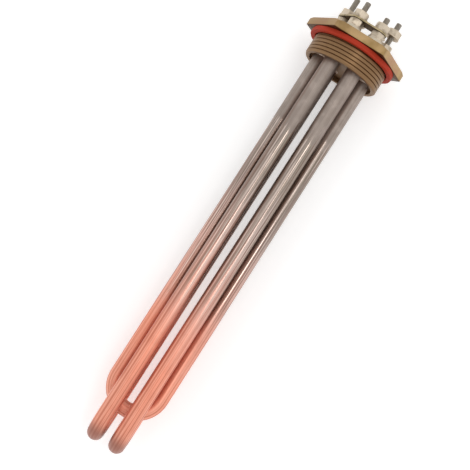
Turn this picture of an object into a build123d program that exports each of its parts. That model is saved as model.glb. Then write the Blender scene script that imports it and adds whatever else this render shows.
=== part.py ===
from build123d import *
import os
from math import cos, radians, sin, tan

# Tubular immersion heater: a brass screw plug that carries three hairpin elements.
# Millimetres. The heater's axis is X: the hairpins reach towards -X, the terminals stand towards +X.
# The origin is the centre of the gasket's sealing face, the plane that meets the tank's boss.
# +Z is up. The heater lies on one flat of its hexagon and on the tips of the two upright hairpins.

# Screw plug: hexagon flange and a barrel, a plain cylinder at the crest of its G 1 1/2 thread
flange_margin = 0.3
flange_thickness = 5.0
flange_bevel = 1.6
flange_bevel_angle = 30.0
thread_diameter = 47.8
relief_depth = 1.4
barrel_length = 12.0
barrel_end_bevel = 0.8
barrel_wall = 2.9
recess_depth = 3.0

# Flat gasket under the flange
gasket_thickness = 3.0
gasket_width = 3.5
gasket_clearance = 0.3
gasket_edge_radius = 0.6

# Hairpin elements: sheath tube, its wall, and how far each kind reaches past the sealing face
tube_diameter = 9.5
tube_wall = 0.8
leg_recess_gap = 2.0
upright_reach = 267.0
cross_reach = 247.0
tube_stand = 3.0
solder_gap = 0.1
solder_leg = 1.1
solder_hollow_ratio = 1.2
cold_length = 25.0

# Terminals: stud, end bush, washers, nuts and the star link
stud_diameter = 3.5
stud_tip_radius = 0.7
bush_spigot = 4.0
bush_collar = 1.5
fit_clearance = 0.05
washer_diameter = 9.4
washer_thickness = 0.8
hole_clearance = 0.25
nut_across_flats = 8.0
nut_height = 3.8
nut_bevel = 0.45
nut_bevel_angle = 30.0
link_width = 9.5
link_thickness = 1.2
ring_terminal_gap = 5.7
bare_thread = (9.1, 6.6, 4.6, 5.1, 3.6, 3.6)
lower_nut_turn = (14, 8, 30, 25, 52, 40)
upper_nut_turn = (21, 18, 39, 46, 33, 5)
hexagon_sides = 6

# The six tube ends stand on one circle, numbered anticlockwise from +Y as seen from the terminals.
# The cross hairpin joins 1 and 4, the left hairpin 2 and 6, the right hairpin 3 and 5.
# The star link joins 1, 2 and 3. The cables go to 4, 5 and 6.
end_count = 6
linked_ends = (1, 2, 3)
end_spacing_angle = 360.0 / end_count

# Worked-out radii
thread_radius = thread_diameter / 2
relief_radius = thread_radius - relief_depth
recess_radius = thread_radius - barrel_wall
gasket_inner_radius = thread_radius + gasket_clearance
gasket_outer_radius = gasket_inner_radius + gasket_width
across_flats = 2 * (gasket_outer_radius + flange_margin)
tube_radius = tube_diameter / 2
bore_radius = tube_radius - tube_wall
leg_circle_radius = recess_radius - leg_recess_gap - tube_radius
leg_spacing = 2 * leg_circle_radius * sin(radians(end_spacing_angle / 2))
stud_radius = stud_diameter / 2
solder_hollow_radius = solder_hollow_ratio * solder_leg

# Worked-out heights along X
flange_under = gasket_thickness
flange_top = flange_under + flange_thickness
recess_floor = recess_depth - barrel_length
tube_end = flange_top + tube_stand
filling_end = tube_end - bush_spigot
coil_end = -barrel_length - cold_length
collar_top = tube_end + bush_collar
lower_nut_seat = collar_top + washer_thickness
lower_nut_top = lower_nut_seat + nut_height


def across(x):
    """Plane at right angles to the heater's axis, with Y to its right and Z up."""
    return Plane.YZ.offset(x)


def corner_reach(flats):
    """Distance from a hexagon's centre to its corners, for one distance across its flats."""
    return flats / 2 / cos(radians(180 / hexagon_sides))


def end_place(number):
    """Y and Z of one tube end on the leg circle."""
    angle = radians((number - 1) * end_spacing_angle)
    return leg_circle_radius * cos(angle), leg_circle_radius * sin(angle)


def write(solid, name):
    """Label one finished piece and write it to its own file."""
    solid.label = name
    export_step(solid, "parts/" + name + ".step")


# Screw plug

corner_radius = corner_reach(across_flats)

with BuildPart() as plug:
    with BuildSketch(across(flange_under)):
        RegularPolygon(radius=corner_radius, side_count=hexagon_sides)
    extrude(amount=flange_thickness)

    # The flange's outer corners are turned down to a cone on the terminal side.
    bevel_drop = flange_bevel * tan(radians(flange_bevel_angle))
    with BuildSketch(Plane.XY):
        with BuildLine():
            Polyline(
                (flange_under, 0),
                (flange_under, corner_radius),
                (flange_top - bevel_drop, corner_radius),
                (flange_top, corner_radius - flange_bevel),
                (flange_top, 0),
                close=True,
            )
        make_face()
    revolve(axis=Axis.X, mode=Mode.INTERSECT)

    with BuildSketch(across(flange_under)):
        Circle(relief_radius)
    extrude(amount=-flange_under)

    with BuildSketch(across(0)):
        Circle(thread_radius)
    extrude(amount=-barrel_length)
    barrel_rim = plug.edges().filter_by(GeomType.CIRCLE).sort_by(Axis.X)[0]
    chamfer(barrel_rim, length=barrel_end_bevel)

    with BuildSketch(across(-barrel_length)):
        Circle(recess_radius)
    extrude(amount=recess_depth, mode=Mode.SUBTRACT)

    with BuildSketch(across(-barrel_length)):
        with PolarLocations(leg_circle_radius, end_count):
            Circle(tube_radius + solder_gap)
    extrude(amount=barrel_length + flange_top, mode=Mode.SUBTRACT)


# Gasket

with BuildPart() as gasket:
    with BuildSketch(across(0)):
        Circle(gasket_outer_radius)
        Circle(gasket_inner_radius, mode=Mode.SUBTRACT)
    extrude(amount=gasket_thickness)
    outer_edges = gasket.edges().filter_by(GeomType.CIRCLE).group_by(SortBy.RADIUS)[-1]
    fillet(outer_edges, radius=gasket_edge_radius)


# Hairpins

def hairpin_line(plane, half_width, reach, start):
    """Centre line of a hairpin: in along one leg from the start, half a turn, and back."""
    bend = -(reach - tube_radius - half_width)
    with BuildLine(plane) as line:
        Line((start, half_width), (bend, half_width))
        ThreePointArc((bend, half_width), (bend - half_width, 0), (bend, -half_width))
        Line((bend, -half_width), (start, -half_width))
    return line.wire()


def hairpin_tube(line, outer, inner=0.0):
    """Round section carried along a hairpin's centre line, hollow if it has an inner radius."""
    with BuildPart() as tube:
        with BuildSketch(Plane(origin=line @ 0, z_dir=line % 0)):
            Circle(outer)
            if inner > 0:
                Circle(inner, mode=Mode.SUBTRACT)
        sweep(path=line)
    return tube


upright_half_width = leg_circle_radius * sin(radians(end_spacing_angle))
upright_offset = leg_circle_radius * cos(radians(end_spacing_angle))

hairpins = {
    "cross": (Plane.XY, leg_circle_radius, cross_reach),
    "left": (Plane.XZ.offset(-upright_offset), upright_half_width, upright_reach),
    "right": (Plane.XZ.offset(upright_offset), upright_half_width, upright_reach),
}


# Terminal pieces, each made at the origin of a plane at right angles to the axis

def stud_rod(number, top):
    """Terminal pin of one tube end: inner end on the coil, outer end a stud with a rounded tip."""
    y, z = end_place(number)
    with BuildPart() as rod:
        with BuildSketch(across(coil_end)):
            with Locations((y, z)):
                Circle(stud_radius)
        extrude(amount=top - coil_end)
        tip = rod.edges().sort_by(Axis.X)[-1]
        fillet(tip, radius=stud_tip_radius)
    return rod


def end_bush(number):
    """Insulating bush: a spigot that plugs the sheath and a collar that lies on its end."""
    y, z = end_place(number)
    with BuildPart() as bush:
        with BuildSketch(across(filling_end)):
            with Locations((y, z)):
                Circle(bore_radius - fit_clearance)
                Circle(stud_radius + fit_clearance, mode=Mode.SUBTRACT)
        extrude(amount=bush_spigot)
        with BuildSketch(across(tube_end)):
            with Locations((y, z)):
                Circle(tube_radius)
                Circle(stud_radius + fit_clearance, mode=Mode.SUBTRACT)
        extrude(amount=bush_collar)
    return bush


def washer(number, seat):
    """Plain washer round a stud, lying on the plane at the given height."""
    y, z = end_place(number)
    with BuildPart() as ring:
        with BuildSketch(across(seat)):
            with Locations((y, z)):
                Circle(washer_diameter / 2)
                Circle(stud_radius + hole_clearance, mode=Mode.SUBTRACT)
        extrude(amount=washer_thickness)
    return ring


def hexagon_nut(number, seat, turn):
    """Hexagon nut with turned corners at both faces, screwed onto a stud and left at a turn."""
    y, z = end_place(number)
    nut_corner = corner_reach(nut_across_flats)
    nut_bevel_drop = nut_bevel * tan(radians(nut_bevel_angle))
    with BuildPart() as nut:
        with BuildSketch(across(seat)):
            with Locations((y, z)):
                RegularPolygon(radius=nut_corner, side_count=hexagon_sides, rotation=turn)
        extrude(amount=nut_height)
        with BuildSketch(Plane.XY.move(Location((seat, y, z)))):
            with BuildLine():
                Polyline(
                    (0, 0),
                    (0, nut_corner - nut_bevel),
                    (nut_bevel_drop, nut_corner),
                    (nut_height - nut_bevel_drop, nut_corner),
                    (nut_height, nut_corner - nut_bevel),
                    (nut_height, 0),
                    close=True,
                )
            make_face()
        revolve(axis=Axis((seat, y, z), (1, 0, 0)), mode=Mode.INTERSECT)
        with BuildSketch(across(seat)):
            with Locations((y, z)):
                Circle(stud_radius + fit_clearance)
        extrude(amount=nut_height, mode=Mode.SUBTRACT)
    return nut


def solder_ring(number):
    """Fillet of silver solder between a leg and the floor of the barrel's recess."""
    y, z = end_place(number)
    foot = tube_radius + solder_leg
    with BuildPart() as ring:
        with BuildSketch(Plane.XY.move(Location((recess_floor, y, z)))):
            with BuildLine():
                Line((0, tube_radius), (0, foot))
                RadiusArc((0, foot), (-solder_leg, tube_radius), -solder_hollow_radius)
                Line((-solder_leg, tube_radius), (0, tube_radius))
            make_face()
        revolve(axis=Axis((recess_floor, y, z), (1, 0, 0)))
    return ring


# Star link: a strip in two straight bars with round ends, from end 1 over end 2 to end 3.
with BuildPart() as link:
    bar_middle = leg_circle_radius * cos(radians(end_spacing_angle / 2))
    bar_count = len(linked_ends) - 1
    with BuildSketch(across(lower_nut_top)):
        for bar in range(bar_count):
            middle_angle = (bar + 0.5) * end_spacing_angle
            with PolarLocations(bar_middle, 1, start_angle=middle_angle):
                SlotCenterToCenter(leg_spacing, link_width, rotation=90)
        with Locations(*[end_place(number) for number in linked_ends]):
            Circle(stud_radius + hole_clearance, mode=Mode.SUBTRACT)
    extrude(amount=link_thickness)


# Write every piece

os.makedirs("parts", exist_ok=True)
write(plug.part, "screw_plug")
write(gasket.part, "gasket")
write(link.part, "star_link")

for name, (plane, half_width, reach) in hairpins.items():
    sheath = hairpin_tube(
        hairpin_line(plane, half_width, reach, tube_end), tube_radius, bore_radius
    )
    filling = hairpin_tube(
        hairpin_line(plane, half_width, reach, filling_end), bore_radius, stud_radius
    )
    coil = hairpin_tube(hairpin_line(plane, half_width, reach, coil_end), stud_radius)
    write(sheath.part, "sheath_" + name)
    write(filling.part, "magnesia_" + name)
    write(coil.part, "heating_coil_" + name)

for number in range(1, end_count + 1):
    upper_washer_seat = lower_nut_top + (
        link_thickness if number in linked_ends else ring_terminal_gap
    )
    upper_nut_seat = upper_washer_seat + washer_thickness
    stud_top = upper_nut_seat + nut_height + bare_thread[number - 1]
    write(stud_rod(number, stud_top).part, "terminal_stud_" + str(number))
    write(end_bush(number).part, "end_bush_" + str(number))
    write(solder_ring(number).part, "solder_ring_" + str(number))
    write(washer(number, collar_top).part, "lower_washer_" + str(number))
    lower_nut = hexagon_nut(number, lower_nut_seat, lower_nut_turn[number - 1])
    write(lower_nut.part, "lower_nut_" + str(number))
    write(washer(number, upper_washer_seat).part, "upper_washer_" + str(number))
    upper_nut = hexagon_nut(number, upper_nut_seat, upper_nut_turn[number - 1])
    write(upper_nut.part, "upper_nut_" + str(number))
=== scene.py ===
"""Looks of a tubular immersion heater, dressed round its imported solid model.

The heater lies with its axis along X: the hairpins reach towards -X, the terminals stand
towards +X, and +Z is up. Every length is in metres, in the frame of the solid model.
"""

import logging
from dataclasses import dataclass, field, replace
from enum import Enum
from math import cos, pi, radians, sin, tan
from typing import Sequence

import bmesh
import bpy
import numpy as np
from mathutils import Matrix, Vector


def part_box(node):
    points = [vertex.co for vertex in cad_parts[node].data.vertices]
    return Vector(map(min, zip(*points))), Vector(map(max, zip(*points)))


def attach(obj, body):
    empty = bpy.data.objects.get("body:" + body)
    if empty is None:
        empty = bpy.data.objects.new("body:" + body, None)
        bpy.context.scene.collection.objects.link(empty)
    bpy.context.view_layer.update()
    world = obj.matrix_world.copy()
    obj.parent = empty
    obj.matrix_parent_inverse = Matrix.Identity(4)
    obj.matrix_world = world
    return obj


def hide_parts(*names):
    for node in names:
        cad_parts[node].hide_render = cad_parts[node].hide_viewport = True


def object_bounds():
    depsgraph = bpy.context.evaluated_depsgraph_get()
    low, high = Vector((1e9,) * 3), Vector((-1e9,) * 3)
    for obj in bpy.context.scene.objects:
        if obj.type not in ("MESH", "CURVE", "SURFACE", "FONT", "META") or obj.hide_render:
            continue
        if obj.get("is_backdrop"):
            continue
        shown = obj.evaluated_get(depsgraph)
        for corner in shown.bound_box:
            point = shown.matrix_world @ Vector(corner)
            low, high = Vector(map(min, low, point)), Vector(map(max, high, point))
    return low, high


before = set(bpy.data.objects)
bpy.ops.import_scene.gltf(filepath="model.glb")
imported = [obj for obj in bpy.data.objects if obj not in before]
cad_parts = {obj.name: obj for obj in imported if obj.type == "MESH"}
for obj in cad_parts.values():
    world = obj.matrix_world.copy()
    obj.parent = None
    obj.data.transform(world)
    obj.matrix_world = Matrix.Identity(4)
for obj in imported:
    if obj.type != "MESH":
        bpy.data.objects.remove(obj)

MM = 0.001
SIXTH = radians(60)
# Where the gasket meets the tank, along X.
SEALING_FACE = 0.0
# Points nearer than this become one.
MERGE = 2e-6
# Edges that turn more than this stay sharp.
SHARP = radians(32)
WHITE = (1.0, 1.0, 1.0, 1.0)
BODY = "root"
ENDS = tuple(range(1, 7))
HAIRPINS = ("cross", "left", "right")

Socket = bpy.types.NodeSocket
Material = bpy.types.Material
Colour = tuple[float, float, float, float]

log = logging.getLogger("heater")


class Ray(Enum):
    """Rays that look at a thing, where all others only carry its light."""

    CAMERA = "Is Camera Ray"
    GLOSSY = "Is Glossy Ray"
    TRANSMISSION = "Is Transmission Ray"


class Level(Enum):
    """Place of a nut or washer on its stud, below or above the cable."""

    LOWER = "lower"
    UPPER = "upper"


def srgb(red: float, green: float, blue: float) -> Colour:
    """Linear colour of a picture colour.

    Each channel c from 0 to 1 becomes ((c + 0.055) / 1.055) to the power 2.4.

    Args:
        red: Red from 0 to 255.
        green: Green from 0 to 255.
        blue: Blue from 0 to 255.

    Returns:
        Linear red, green and blue, and an alpha of 1.
    """
    channels = np.array([red, green, blue], float) / 255
    linear = ((channels + 0.055) / 1.055) ** 2.4
    return (float(linear[0]), float(linear[1]), float(linear[2]), 1.0)


@dataclass(frozen=True)
class NodeBox:
    """Box of one node of the solid model, from which a piece takes its size and place."""

    low: np.ndarray
    high: np.ndarray

    @classmethod
    def of(cls, node: str) -> "NodeBox":
        """Box of the node of that name."""
        low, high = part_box(node)
        return cls(np.array(low), np.array(high))

    @property
    def centre(self) -> np.ndarray:
        """Middle of the box."""
        return (self.low + self.high) / 2

    @property
    def size(self) -> np.ndarray:
        """Lengths of the box along X, Y and Z."""
        return self.high - self.low

    @property
    def ends(self) -> tuple[float, float]:
        """Lowest and highest place along X."""
        return float(self.low[0]), float(self.high[0])

    @property
    def radius(self) -> float:
        """Half of the box's length along Y."""
        return float(self.size[1]) / 2


def add_object(name: str, data: bpy.types.ID) -> bpy.types.Object:
    """Make an object and link it to the scene.

    Args:
        name: Name of the object.
        data: Its mesh, light or camera.

    Returns:
        The object, at the origin.
    """
    made = bpy.data.objects.new(name, data)
    bpy.context.scene.collection.objects.link(made)
    return made


def full_turn(columns: int) -> np.ndarray:
    """Even angles round a full turn, the last short of the first."""
    return np.linspace(0, 2 * pi, columns, endpoint=False)


class Surface:
    """Points and faces of one piece, gathered grid by grid and merged into a closed mesh."""

    def __init__(self) -> None:
        """Start with no points."""
        self._points: list[np.ndarray] = []
        self._faces: list[np.ndarray] = []
        self._values: list[dict[str, np.ndarray]] = []
        self._count = 0

    def grid(self, points: np.ndarray, closed: bool = False, **values: np.ndarray) -> None:
        """Add a grid of points, with a face between each four neighbours.

        Args:
            points: Array of rows by columns by three.
            closed: True if the last column joins the first.
            **values: Named arrays of rows by columns, or by three, stored on the points. A name
                that another grid of the piece leaves out is 0 there.
        """
        rows, columns = points.shape[:2]
        index = np.arange(rows * columns).reshape(rows, columns) + self._count
        if closed:
            index = np.concatenate([index, index[:, :1]], axis=1)
        corners = (index[:-1, :-1], index[:-1, 1:], index[1:, 1:], index[1:, :-1])
        self._faces.append(np.stack(corners, axis=-1).reshape(-1, 4))
        self._points.append(points.reshape(-1, 3))
        self._values.append(values)
        self._count += rows * columns

    def ring(self, rows: Sequence[tuple], angle: np.ndarray,
             centre: tuple[float, float] = (0.0, 0.0), closed: bool = False,
             **values: np.ndarray) -> None:
        """Add a grid round an axis parallel to X.

        A point is (x, centre Y + radius times cos angle, centre Z + radius times sin angle).

        Args:
            rows: Pairs of a place along X and a radius. Each is a number, or an array of rows
                by columns.
            angle: Angles of the columns, from +Y towards +Z.
            centre: Y and Z of the axis.
            closed: True if the last column joins the first.
            **values: As for a grid.
        """
        level = np.zeros((1, angle.size))
        x = np.concatenate([level + place for place, _ in rows])
        radius = np.concatenate([level + reach for _, reach in rows])
        y, z = centre[0] + radius * np.cos(angle), centre[1] + radius * np.sin(angle)
        self.grid(np.stack([x, y, z], axis=-1), closed, **values)

    def store(self, mesh: bpy.types.Mesh) -> None:
        """Write the named values to the mesh, as attributes of its points.

        Args:
            mesh: Mesh that holds every point, in order.
        """
        for name in dict.fromkeys(name for values in self._values for name in values):
            parts = [np.reshape(values.get(name, np.zeros(len(points))), (len(points), -1))
                     for points, values in zip(self._points, self._values)]
            data = np.concatenate(parts).astype(np.float32)
            kind, slot = ("FLOAT_VECTOR", "vector") if data.shape[1] == 3 else ("FLOAT", "value")
            mesh.attributes.new(name, kind, "POINT").data.foreach_set(slot, data.ravel())

    def build(self, name: str, sharp: float = SHARP) -> bpy.types.Object:
        """Make the object: fill the mesh, merge doubles, turn the faces outwards.

        Args:
            name: Name of the piece.
            sharp: Edges that turn more than this stay sharp.

        Returns:
            The new object, at the origin, with its place in its mesh.
        """
        points, faces = np.concatenate(self._points), np.concatenate(self._faces)
        mesh = bpy.data.meshes.new(name)
        mesh.vertices.add(len(points))
        mesh.vertices.foreach_set("co", points.astype(np.float32).ravel())
        mesh.loops.add(faces.size)
        mesh.loops.foreach_set("vertex_index", faces.astype(np.int32).ravel())
        mesh.polygons.add(len(faces))
        mesh.polygons.foreach_set("loop_start", np.arange(0, faces.size, 4, dtype=np.int32))
        mesh.update(calc_edges=True)
        self.store(mesh)
        shape = bmesh.new()
        shape.from_mesh(mesh)
        bmesh.ops.remove_doubles(shape, verts=shape.verts, dist=MERGE)
        bmesh.ops.dissolve_degenerate(shape, edges=shape.edges, dist=MERGE / 4)
        bmesh.ops.recalc_face_normals(shape, faces=shape.faces)
        loose = sum(not edge.is_manifold for edge in shape.edges)
        shape.to_mesh(mesh)
        shape.free()
        mesh.shade_smooth()
        mesh.set_sharp_from_angle(angle=sharp)
        log.info("%s: %d faces, %d open edges", name, len(mesh.polygons), loose)
        return add_object(name, mesh)


@dataclass(frozen=True)
class Band:
    """Range of a value, low to high, and the amounts at its two ends."""

    low: float
    high: float
    start: float = 0.0
    end: float = 1.0


@dataclass(frozen=True)
class Layer:
    """Colour, or a socket with one, that comes in over a band of some value."""

    tone: Colour | Socket
    band: Band


@dataclass(frozen=True)
class Grain:
    """Soft random pattern, a number from 0 to 1 around 0.5.

    Attributes:
        size: Rough size of its patches in metres.
        detail: How many finer layers it has.
        roughness: How strong those are.
        twist: How far the patches are pulled out of shape.
        stretch: Scale of the place it is read at, in three directions.
    """

    size: float
    detail: float = 3.0
    roughness: float = 0.55
    twist: float = 0.0
    stretch: tuple[float, float, float] | None = None


class Tree:
    """Node tree of a material or a world, written as calls that give back sockets."""

    def __init__(self, owner: bpy.types.ID) -> None:
        """Empty the tree of its owner."""
        owner.use_nodes = True
        self.tree = owner.node_tree
        self.tree.nodes.clear()

    def node(self, kind: str, inputs: dict, **settings: str) -> bpy.types.Node:
        """Add a node.

        Args:
            kind: Blender's name of the node type.
            inputs: Values or sockets by input name or number.
            **settings: Properties of the node.

        Returns:
            The node.
        """
        made = self.tree.nodes.new(kind)
        for title, value in settings.items():
            setattr(made, title, value)
        for key, value in inputs.items():
            if isinstance(value, Socket):
                self.tree.links.new(value, made.inputs[key])
            else:
                made.inputs[key].default_value = value
        return made

    def math(self, operation: str, *values: float | Socket) -> Socket:
        """Result of one sum of numbers or sockets."""
        return self.node("ShaderNodeMath", dict(enumerate(values)), operation=operation).outputs[0]

    def span(self, value: Socket, band: Band) -> Socket:
        """Value carried from the band's range to its amounts, smooth at both ends."""
        inputs = {"Value": value, "From Min": band.low, "From Max": band.high,
                  "To Min": band.start, "To Max": band.end}
        return self.node("ShaderNodeMapRange", inputs, interpolation_type="SMOOTHSTEP").outputs[0]

    def seen(self) -> Socket:
        """Tell the rays that look at a thing from those that only carry its light.

        Returns:
            1 for the first, 0 for the others.
        """
        rays = self.node("ShaderNodeLightPath", {}).outputs
        looks = 0.0
        for ray in Ray:
            looks = self.math("MAXIMUM", looks, rays[ray.value])
        return looks


class Recipe(Tree):
    """Node tree of one new material."""

    def __init__(self, name: str) -> None:
        """Make an empty material of that name."""
        self.material = bpy.data.materials.new(name)
        super().__init__(self.material)

    def place(self) -> Socket:
        """Point of the surface, in metres in the frame of the model."""
        return self.node("ShaderNodeTexCoord", {}).outputs["Object"]

    def stored(self, attribute: str, output: str = "Fac") -> Socket:
        """Number or Vector stored on the points of the piece under that name."""
        return self.node("ShaderNodeAttribute", {}, attribute_name=attribute).outputs[output]

    def noise(self, vector: Socket, grain: Grain) -> Socket:
        """Random pattern.

        Args:
            vector: Where the pattern is read.
            grain: What it is like.

        Returns:
            Number from 0 to 1, around 0.5.
        """
        if grain.stretch:
            mapping = {"Vector": vector, "Scale": grain.stretch}
            vector = self.node("ShaderNodeMapping", mapping).outputs["Vector"]
        inputs = {"Vector": vector, "Scale": 1 / grain.size, "Detail": grain.detail,
                  "Roughness": grain.roughness, "Distortion": grain.twist}
        return self.node("ShaderNodeTexNoise", inputs).outputs["Fac"]

    def along(self, vector: Socket, axis: str) -> Socket:
        """One part, X, Y or Z, of a vector."""
        return self.node("ShaderNodeSeparateXYZ", {"Vector": vector}).outputs[axis]

    def from_axis(self, vector: Socket) -> Socket:
        """Distance from the heater's axis: the root of Y squared plus Z squared.

        Args:
            vector: Place in metres.

        Returns:
            The distance.
        """
        parts = {axis: self.along(vector, axis) for axis in "YZ"}
        flat = self.node("ShaderNodeCombineXYZ", parts).outputs[0]
        return self.node("ShaderNodeVectorMath", {0: flat}, operation="LENGTH").outputs["Value"]

    def ramp(self, value: Socket, stops: Sequence[tuple]) -> Socket:
        """Colour that follows a value.

        Args:
            value: Place in metres.
            stops: Pairs of a place and the colour there, in order.

        Returns:
            The colour, mixed between two stops and flat beyond the outer ones.
        """
        start, end = stops[0][0], stops[-1][0]
        inputs = {"Value": value, "From Min": start, "From Max": end}
        share = self.node("ShaderNodeMapRange", inputs).outputs["Result"]
        made = self.node("ShaderNodeValToRGB", {"Fac": share})
        elements = made.color_ramp.elements
        for number, (place, colour) in enumerate(stops):
            at = (place - start) / (end - start)
            element = elements[number] if number < 2 else elements.new(at)
            element.position, element.color = at, colour
        return made.outputs["Color"]

    def blend(self, amount: Socket, base: Colour | Socket, top: Colour | Socket) -> Socket:
        """Two colours mixed by an amount: all base at 0, all top at 1."""
        inputs = {0: amount, 6: base, 7: top}
        return self.node("ShaderNodeMix", inputs, data_type="RGBA").outputs[2]

    def lay(self, base: Colour | Socket, layer: Layer, value: Socket,
            share: Socket | None = None) -> Socket:
        """Lay a layer over a colour.

        Args:
            base: The colour.
            layer: What goes over it.
            value: Value that the layer's band is read on.
            share: What the layer's amount is multiplied by.

        Returns:
            The new colour.
        """
        amount = self.span(value, layer.band)
        if share is not None:
            amount = self.math("MULTIPLY", amount, share)
        return self.blend(amount, base, layer.tone)

    def bump(self, height: Socket, depth: float, strength: float = 1.0,
             over: Socket | None = None) -> Socket:
        """Normal of a surface raised by a height.

        Args:
            height: Height from 0 to 1.
            depth: What a height of 1 stands for, in metres.
            strength: Share of the effect.
            over: Normal that this one is laid over.

        Returns:
            The normal.
        """
        inputs = {"Height": height, "Distance": depth, "Strength": strength}
        if over is not None:
            inputs["Normal"] = over
        return self.node("ShaderNodeBump", inputs).outputs["Normal"]

    def surface(self, inputs: dict) -> Material:
        """Close the material with its shader.

        Args:
            inputs: Values or sockets of the shader by input name.

        Returns:
            The finished material.
        """
        shader = self.node("ShaderNodeBsdfPrincipled", inputs)
        self.node("ShaderNodeOutputMaterial", {"Surface": shader.outputs["BSDF"]})
        return self.material


@dataclass(frozen=True)
class Finish:
    """A finish: its name, the record's slot it belongs to, and its recipe."""

    name: str
    slot: str

    def material(self) -> Material:
        """Make the material the first time that it is asked for.

        Returns:
            The material.
        """
        made = bpy.data.materials.get(self.name)
        if made is None:
            recipe = Recipe(self.name)
            made = recipe.surface(self.mix(recipe))
        return made

    def mix(self, recipe: Recipe) -> dict:
        """Shader's inputs by name."""
        raise NotImplementedError

    def dress(self, piece: bpy.types.Object, node: str) -> None:
        """Give a new piece this finish and its place on the model.

        Args:
            piece: The new piece.
            node: Node of the solid model that it stands for.
        """
        piece.data.materials.append(self.material())
        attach(piece, BODY)
        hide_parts(node)

    def repaint(self, node: str) -> None:
        """Give a node of the solid model this finish.

        Args:
            node: Name of the node.
        """
        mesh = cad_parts[node].data
        mesh.materials.clear()
        mesh.materials.append(self.material())
        log.info("%s: keeps its solid, finish %s", node, self.name)


@dataclass(frozen=True)
class TurnedBrass(Finish):
    """Bar brass, turned and then tarnished: golden on the hexagon, brown on the barrel.

    Attributes:
        flange: Colour of the hexagon's clean metal.
        rosy: Its rosier patches, by the clouds.
        olive: Its duller patches, by the clouds.
        shaded_side: Painted shade, darker towards its +Y side, by Y.
        underside_shade: Painted shade on the flange's underside, beside the gasket, by X.
        barrel: Crests of the barrel, by X.
        pits: Olive specks, by the speckle.
        groove: Colour of the painted shade in the thread's grooves.
        groove_side: How much of it there is, by Y, less towards +Y.
        satin: Roughness, by the clouds.
    """

    flange: Colour = srgb(182, 152, 109)
    rosy: Layer = Layer(srgb(180, 142, 111), Band(0.53, 0.68))
    olive: Layer = Layer(srgb(146, 120, 78), Band(0.5, 0.36))
    # Painted shade, darker towards the +Y side.
    shaded_side: Layer = Layer(srgb(136, 110, 76), Band(-10 * MM, 28 * MM, 0, 0.6))
    # Painted shade on the flange's underside, beside the gasket.
    underside_shade: Layer = Layer(srgb(78, 52, 26), Band(3.4 * MM, 3 * MM))
    barrel: Layer = Layer(srgb(134, 104, 74), Band(0.5 * MM, -0.5 * MM))
    pits: Layer = replace(olive, band=Band(0.52, 0.72, 0, 0.3))
    groove: Colour = srgb(124, 88, 54)
    groove_side: Band = Band(22 * MM, 4 * MM, 0.5, 1)
    satin: Band = Band(0.3, 0.7, 0.37, 0.49)
    clouds: Grain = Grain(20 * MM, 3, 0.5, 0.3)
    speckle: Grain = Grain(0.9 * MM, 3, 0.6)
    marks: Grain = Grain(0.25 * MM, 2, 0.5)
    mark_depth: float = 0.006 * MM
    speck_relief: float = 0.5
    metallic: float = 0.9

    def mix(self, recipe: Recipe) -> dict:
        """Clouds of tarnish, a browner barrel, turning marks round the axis, and painted shade in
        the grooves, under the flange and towards +Y.

        Args:
            recipe: Where the nodes go.

        Returns:
            Shader's inputs by name.
        """
        place = recipe.place()
        x, y = recipe.along(place, "X"), recipe.along(place, "Y")
        clouds, speckle = recipe.noise(place, self.clouds), recipe.noise(place, self.speckle)
        colour = self.flange
        # Tarnish clouds, painted shade towards +Y and under the flange, the browner barrel, olive
        # specks.
        for layer, value in ((self.rosy, clouds), (self.olive, clouds), (self.shaded_side, y),
                             (self.underside_shade, x), (self.barrel, x), (self.pits, speckle)):
            colour = recipe.lay(colour, layer, value)
        # Painted shade in the thread's grooves, lighter towards +Y.
        painted_shade = recipe.math("MULTIPLY", recipe.stored("groove"), recipe.span(y, self.groove_side))
        colour = recipe.blend(painted_shade, colour, self.groove)
        turned = {"X": x, "Y": recipe.from_axis(place)}
        marks = recipe.noise(recipe.node("ShaderNodeCombineXYZ", turned).outputs[0], self.marks)
        normal = recipe.bump(marks, self.mark_depth)
        normal = recipe.bump(speckle, self.mark_depth, self.speck_relief, normal)
        return {"Base Color": colour, "Metallic": self.metallic,
                "Roughness": recipe.span(clouds, self.satin), "Normal": normal}


@dataclass(frozen=True)
class StampedBrass(Finish):
    """Strip brass with a satin face.

    Attributes:
        body: Colour of the face.
        dull: Handled patches, by the clouds.
        underside_shade: Painted shade on the underside, by X.
        satin: Roughness, by the rolling lines.
    """

    body: Colour = srgb(176, 160, 126)
    dull: Layer = Layer(srgb(126, 112, 84), Band(0.4, 0.7))
    # Painted shade on the strip's underside.
    underside_shade: Layer = Layer(srgb(64, 46, 26), Band(17.4 * MM, 17.15 * MM, 0, 0.85))
    satin: Band = Band(0.3, 0.7, 0.29, 0.44)
    clouds: Grain = Grain(4 * MM, 3, 0.6, 0.3)
    lines: Grain = Grain(0.12 * MM, 2, stretch=(1, 0.04, 1))
    line_depth: float = 0.006 * MM

    def mix(self, recipe: Recipe) -> dict:
        """Soft clouds, painted shade on the underside and rolling lines along Y.

        Args:
            recipe: Where the nodes go.

        Returns:
            Shader's inputs by name.
        """
        place = recipe.place()
        lines = recipe.noise(place, self.lines)
        colour = recipe.lay(self.body, self.dull, recipe.noise(place, self.clouds))
        # Painted shade on the underside, by X.
        colour = recipe.lay(colour, self.underside_shade, recipe.along(place, "X"))
        return {"Base Color": colour, "Metallic": 1.0, "Roughness": recipe.span(lines, self.satin),
                "Normal": recipe.bump(lines, self.line_depth)}


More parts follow.
